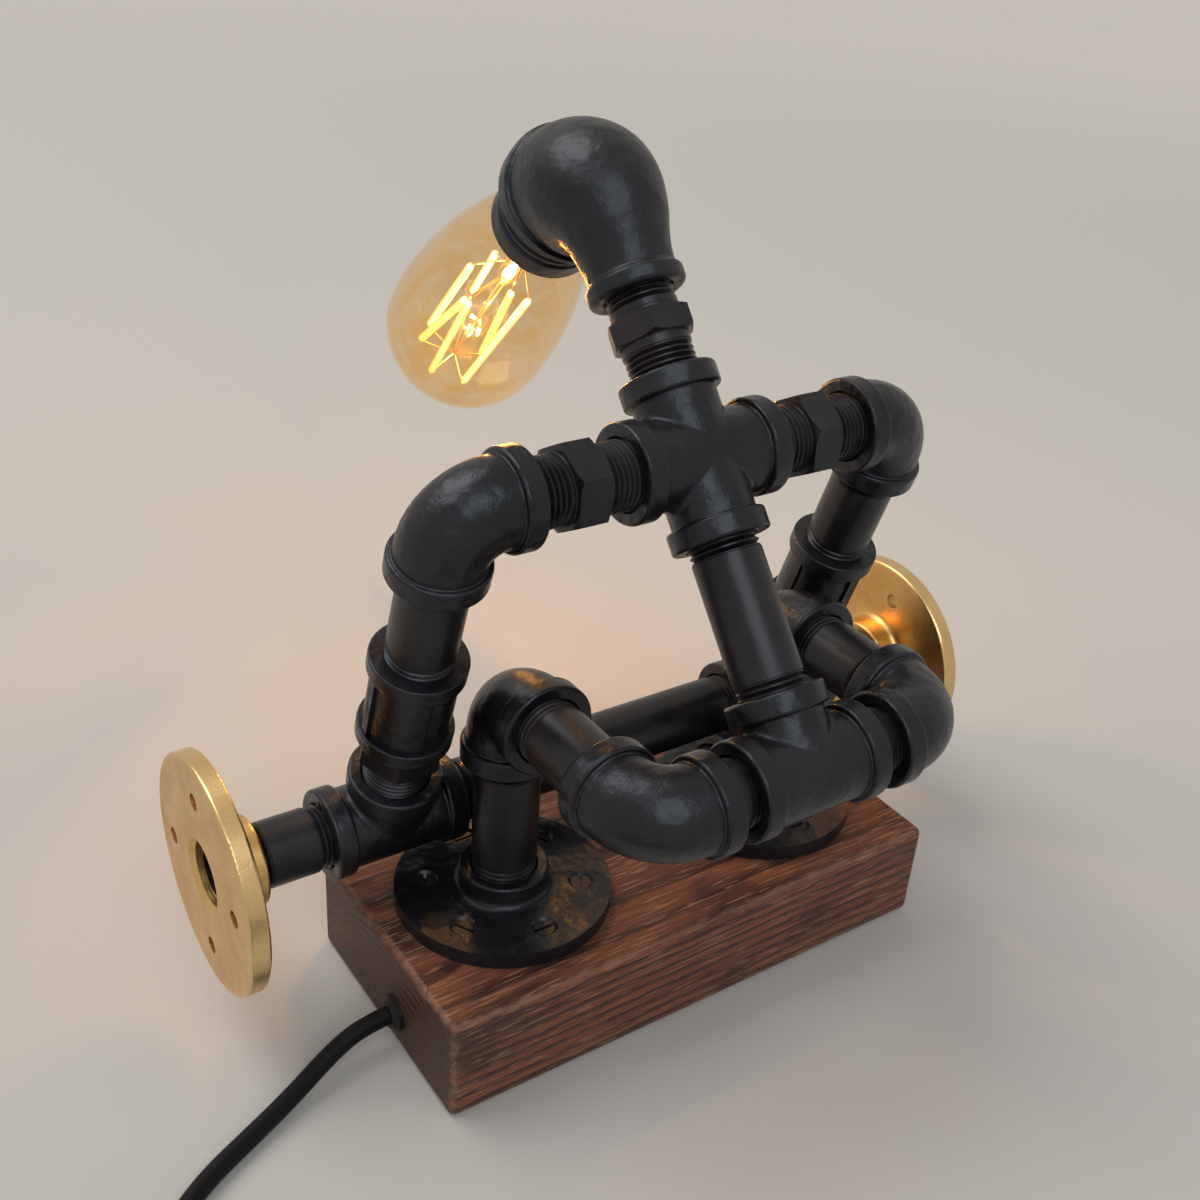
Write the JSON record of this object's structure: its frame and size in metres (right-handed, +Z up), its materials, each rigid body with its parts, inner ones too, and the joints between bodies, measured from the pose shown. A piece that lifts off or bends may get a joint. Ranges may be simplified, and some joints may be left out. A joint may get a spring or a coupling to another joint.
{
  "type": "pipe table lamp",
  "caption": "Table lamp built as a seated figure of threaded pipe and fittings on a wooden block, with brass end discs, a long amber bulb and a corded inline switch.",
  "frame": {"origin": "middle of the underside of the wooden base, at the table's surface", "axes": "+X along the wooden base from the cord's end to the plain end, +Y towards the side the figure faces, +Z up"},
  "size_m": [0.3442, 0.4175, 0.27],
  "materials": {
    "stained_wood": "dark brown stain over brushed softwood, worn lighter at the edges",
    "grommet_rubber": "matte black moulded rubber",
    "black_screws": "blackened steel",
    "satin_brass": "satin brushed cast brass",
    "black_pipe": "satin black over drawn steel pipe",
    "black_iron": "satin black over slightly rough cast iron",
    "black_lampholder": "satin black metal with a coarse thread",
    "insulator": "off-white moulded insulator",
    "holder_brass": "plain brass contacts",
    "cap_metal": "bright pressed metal screw cap",
    "amber_glass": "clear amber tinted glass",
    "clear_glass": "clear glass stem",
    "filament": "glowing warm filaments",
    "cord_sheath": "matte black round flex",
    "tie_plastic": "soft black cable strap",
    "rocker_plastic": "semi-gloss black",
    "black_plastic": "fine textured black moulding",
    "pin_metal": "nickel plated pins"
  },
  "bodies": {
    "stand": {"wood_base": "stained_wood", "cord_grommet": "grommet_rubber", "left_foot_flange": "black_iron", "right_foot_flange": "black_iron", "left_foot_screws": "black_screws", "right_foot_screws": "black_screws", "left_shin_nipple": "black_pipe", "right_shin_nipple": "black_pipe", "left_knee_elbow": "black_iron", "right_knee_elbow": "black_iron", "left_thigh_nipple": "black_pipe", "right_thigh_nipple": "black_pipe", "left_hip_elbow": "black_iron", "right_hip_elbow": "black_iron", "left_hip_nipple": "black_pipe", "right_hip_nipple": "black_pipe", "leg_lead": "cord_sheath", "supply_cord": "cord_sheath", "switch_lower_shell": "black_plastic", "switch_upper_shell": "black_plastic", "switch_to_coil_cord": "cord_sheath", "cord_coil": "cord_sheath", "coil_tie": "tie_plastic", "coil_to_plug_cord": "cord_sheath", "plug_body": "black_plastic", "plug_pins": "pin_metal"},
    "torso": {"pelvis_tee": "black_iron", "torso_nipple": "black_pipe", "chest_cross": "black_iron", "left_shoulder_nipple": "black_pipe", "right_shoulder_nipple": "black_pipe", "neck_nipple": "black_pipe", "torso_lead": "cord_sheath"},
    "arms": {"left_shoulder_elbow": "black_iron", "right_shoulder_elbow": "black_iron", "left_arm_nipple": "black_pipe", "right_arm_nipple": "black_pipe", "left_arm_coupling": "black_iron", "right_arm_coupling": "black_iron", "left_wrist_nipple": "black_pipe", "right_wrist_nipple": "black_pipe", "left_hand_tee": "black_iron", "right_hand_tee": "black_iron", "bar_nipple": "black_pipe", "left_bar_end_nipple": "black_pipe", "right_bar_end_nipple": "black_pipe", "left_weight_flange": "satin_brass", "right_weight_flange": "satin_brass"},
    "head": {"head_elbow": "black_iron", "lampholder_body": "black_lampholder", "lampholder_insulator": "insulator", "lampholder_shell": "holder_brass", "lampholder_contact": "holder_brass", "head_lead": "cord_sheath"},
    "bulb": {"bulb_cap": "cap_metal", "bulb_glass": "amber_glass", "bulb_stem": "clear_glass", "bulb_filaments": "filament"},
    "rocker": {"switch_rocker": "rocker_plastic"}
  },
  "joints": [
    {"name": "torso_lean", "type": "hinge", "parent": "stand", "child": "torso", "pos_m": [0, -0.0725, 0.1145], "axis": [1, 0, 0], "range_deg": [-0.5, 22]},
    {"name": "arm_swing", "type": "hinge", "parent": "torso", "child": "arms", "pos_m": [0, -0.01138, 0.18657], "axis": [1, 0, 0], "range_deg": [-1, 45]},
    {"name": "head_turn", "type": "hinge", "parent": "torso", "child": "head", "pos_m": [0, 0.04955, 0.25842], "axis": [0, 0.6468, 0.7627], "range_deg": [-90, 90]},
    {"name": "bulb_out", "type": "slide", "parent": "head", "child": "bulb", "axis": [0.1132, 0.7578, -0.6426], "range_m": [0, 0.03]},
    {"name": "switch_rock", "type": "hinge", "parent": "stand", "child": "rocker", "pos_m": [-0.1896, -0.1149, 0.0135], "axis": [-0.9976, -0.0691, 0], "range_deg": [0, 14]}
  ]
}
